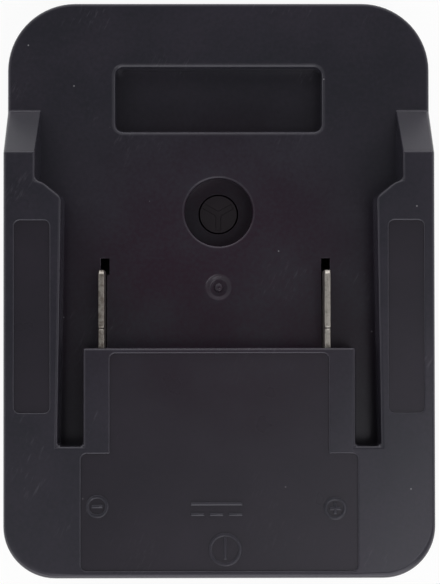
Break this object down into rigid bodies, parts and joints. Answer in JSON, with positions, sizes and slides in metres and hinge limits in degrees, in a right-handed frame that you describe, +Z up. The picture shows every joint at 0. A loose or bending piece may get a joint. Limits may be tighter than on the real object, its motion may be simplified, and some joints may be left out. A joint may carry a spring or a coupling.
{
  "type": "tool battery adapter",
  "caption": "Slide-on adapter between a cordless tool and a battery of another range: railed battery seat with plated blades on one side, latching slide foot on the other.",
  "frame": {"origin": "under the middle of the body, on the bottom face of the tool foot", "axes": "+X across the battery seat with the negative pole on the -X side, +Y towards the end where the battery enters, +Z up out of the battery seat"},
  "size_m": [0.075, 0.1014, 0.04],
  "materials": {
    "shell_plastic": "satin moulded black ABS",
    "blade_metal": "nickel-plated stamped brass",
    "clip_metal": "bare stamped phosphor bronze",
    "insulator_plastic": "moulded dark grey nylon",
    "black_silicone": "black silicone insulation",
    "red_silicone": "red silicone insulation",
    "sleeve_plastic": "shrunk black polyolefin",
    "latch_plastic": "moulded black acetal",
    "button_plastic": "moulded dark grey ABS",
    "spring_steel": "bright spring wire",
    "screw_black": "black oxide steel",
    "screw_zinc": "zinc-plated steel"
  },
  "bodies": {
    "adapter_body": {"front_shell": "shell_plastic", "back_shell": "shell_plastic", "negative_blade": "blade_metal", "positive_blade": "blade_metal", "blade_retainer": "insulator_plastic", "retainer_screws": "screw_zinc", "contact_block": "insulator_plastic", "negative_clip": "clip_metal", "positive_clip": "clip_metal", "negative_lead": "black_silicone", "positive_lead": "red_silicone", "negative_sleeves": "sleeve_plastic", "positive_sleeves": "sleeve_plastic", "left_latch_spring": "spring_steel", "right_latch_spring": "spring_steel", "centre_screw": "screw_black", "case_screws": "screw_black"},
    "latch": {"release_latch": "latch_plastic", "release_button": "button_plastic"}
  },
  "joints": [
    {"name": "latch_slide", "type": "slide", "parent": "adapter_body", "child": "latch", "axis": [0, 0, 1], "range_m": [0, 0.005], "stiffness_N_per_m": 400, "springref_m": -0.004, "deforming": ["left_latch_spring", "right_latch_spring"]}
  ]
}
